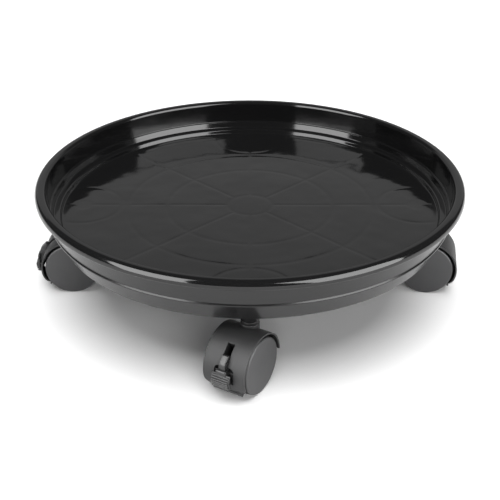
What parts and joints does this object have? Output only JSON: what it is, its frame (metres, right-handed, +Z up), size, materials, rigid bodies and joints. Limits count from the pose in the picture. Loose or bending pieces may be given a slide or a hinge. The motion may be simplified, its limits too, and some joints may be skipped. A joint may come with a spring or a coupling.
{
  "type": "plant pot caddy",
  "caption": "Round stepped saucer tray with a rolled rim on hooded twin-wheel swivel casters, two of them with foot brakes, for rolling a heavy plant pot.",
  "frame": {"origin": "on the ground under the tray's centre", "axes": "+Z up, the front caster towards -Y, +X to the right seen from the front"},
  "size_m": [0.3142, 0.3143, 0.0892],
  "materials": {
    "tray_gloss_black": "glossy moulded black",
    "hood_textured_black": "fine spark-eroded texture",
    "wheel_satin_black": "smooth satin",
    "lever_black": "smooth satin",
    "plated_steel": "zinc plated",
    "blackened_steel": "black oxide"
  },
  "bodies": {
    "tray_body": {"tray": "tray_gloss_black", "front_stem": "blackened_steel", "front_grip_ring": "plated_steel", "front_stem_clip": "plated_steel", "left_stem": "blackened_steel", "left_grip_ring": "plated_steel", "left_stem_clip": "plated_steel", "right_stem": "blackened_steel", "right_grip_ring": "plated_steel", "right_stem_clip": "plated_steel", "back_stem": "blackened_steel", "back_grip_ring": "plated_steel", "back_stem_clip": "plated_steel"},
    "front_caster": {"front_hood": "hood_textured_black", "front_axle": "plated_steel", "front_brake_pin": "plated_steel"},
    "front_wheel_a_body": {"front_wheel_a": "wheel_satin_black"},
    "front_wheel_b_body": {"front_wheel_b": "wheel_satin_black"},
    "front_brake": {"front_brake_lever": "lever_black", "front_brake_bar": "blackened_steel"},
    "left_caster": {"left_hood": "hood_textured_black", "left_axle": "plated_steel", "left_brake_pin": "plated_steel"},
    "left_wheel_a_body": {"left_wheel_a": "wheel_satin_black"},
    "left_wheel_b_body": {"left_wheel_b": "wheel_satin_black"},
    "left_brake": {"left_brake_lever": "lever_black", "left_brake_bar": "blackened_steel"},
    "right_caster": {"right_hood": "hood_textured_black", "right_axle": "plated_steel"},
    "right_wheel_a_body": {"right_wheel_a": "wheel_satin_black"},
    "right_wheel_b_body": {"right_wheel_b": "wheel_satin_black"},
    "back_caster": {"back_hood": "hood_textured_black", "back_axle": "plated_steel"},
    "back_wheel_a_body": {"back_wheel_a": "wheel_satin_black"},
    "back_wheel_b_body": {"back_wheel_b": "wheel_satin_black"}
  },
  "joints": [
    {"name": "front_swivel", "type": "hinge", "parent": "tray_body", "child": "front_caster", "pos_m": [0, -0.1217, 0.0429], "axis": [0, 0, 1], "continuous": true},
    {"name": "front_wheel_a_spin", "type": "hinge", "parent": "front_caster", "child": "front_wheel_a_body", "pos_m": [-0.00515, -0.13027, 0.0194], "axis": [0.8572, -0.515, 0], "continuous": true},
    {"name": "front_wheel_b_spin", "type": "hinge", "parent": "front_caster", "child": "front_wheel_b_body", "pos_m": [-0.00515, -0.13027, 0.0194], "axis": [0.8572, -0.515, 0], "continuous": true},
    {"name": "front_brake_press", "type": "hinge", "parent": "front_caster", "child": "front_brake", "pos_m": [-0.01303, -0.14339, 0.02558], "axis": [0.8572, -0.515, 0], "range_deg": [0, 8]},
    {"name": "left_swivel", "type": "hinge", "parent": "tray_body", "child": "left_caster", "pos_m": [-0.1217, 0, 0.0429], "axis": [0, 0, 1], "continuous": true},
    {"name": "left_wheel_a_spin", "type": "hinge", "parent": "left_caster", "child": "left_wheel_a_body", "pos_m": [-0.1317, -0.00017, 0.0194], "axis": [0.0175, -0.9998, 0], "continuous": true},
    {"name": "left_wheel_b_spin", "type": "hinge", "parent": "left_caster", "child": "left_wheel_b_body", "pos_m": [-0.1317, -0.00017, 0.0194], "axis": [0.0175, -0.9998, 0], "continuous": true},
    {"name": "left_brake_press", "type": "hinge", "parent": "left_caster", "child": "left_brake", "pos_m": [-0.14699, -0.00044, 0.02558], "axis": [0.0175, -0.9998, 0], "range_deg": [0, 8]},
    {"name": "right_swivel", "type": "hinge", "parent": "tray_body", "child": "right_caster", "pos_m": [0.1217, 0, 0.0429], "axis": [0, 0, 1], "continuous": true},
    {"name": "right_wheel_a_spin", "type": "hinge", "parent": "right_caster", "child": "right_wheel_a_body", "pos_m": [0.1316, -0.00139, 0.0194], "axis": [0.1392, 0.9903, 0], "continuous": true},
    {"name": "right_wheel_b_spin", "type": "hinge", "parent": "right_caster", "child": "right_wheel_b_body", "pos_m": [0.1316, -0.00139, 0.0194], "axis": [0.1392, 0.9903, 0], "continuous": true},
    {"name": "back_swivel", "type": "hinge", "parent": "tray_body", "child": "back_caster", "pos_m": [0, 0.1217, 0.0429], "axis": [0, 0, 1], "continuous": true},
    {"name": "back_wheel_a_spin", "type": "hinge", "parent": "back_caster", "child": "back_wheel_a_body", "pos_m": [0.00485, 0.13045, 0.0194], "axis": [-0.8746, 0.4848, 0], "continuous": true},
    {"name": "back_wheel_b_spin", "type": "hinge", "parent": "back_caster", "child": "back_wheel_b_body", "pos_m": [0.00485, 0.13045, 0.0194], "axis": [-0.8746, 0.4848, 0], "continuous": true}
  ]
}
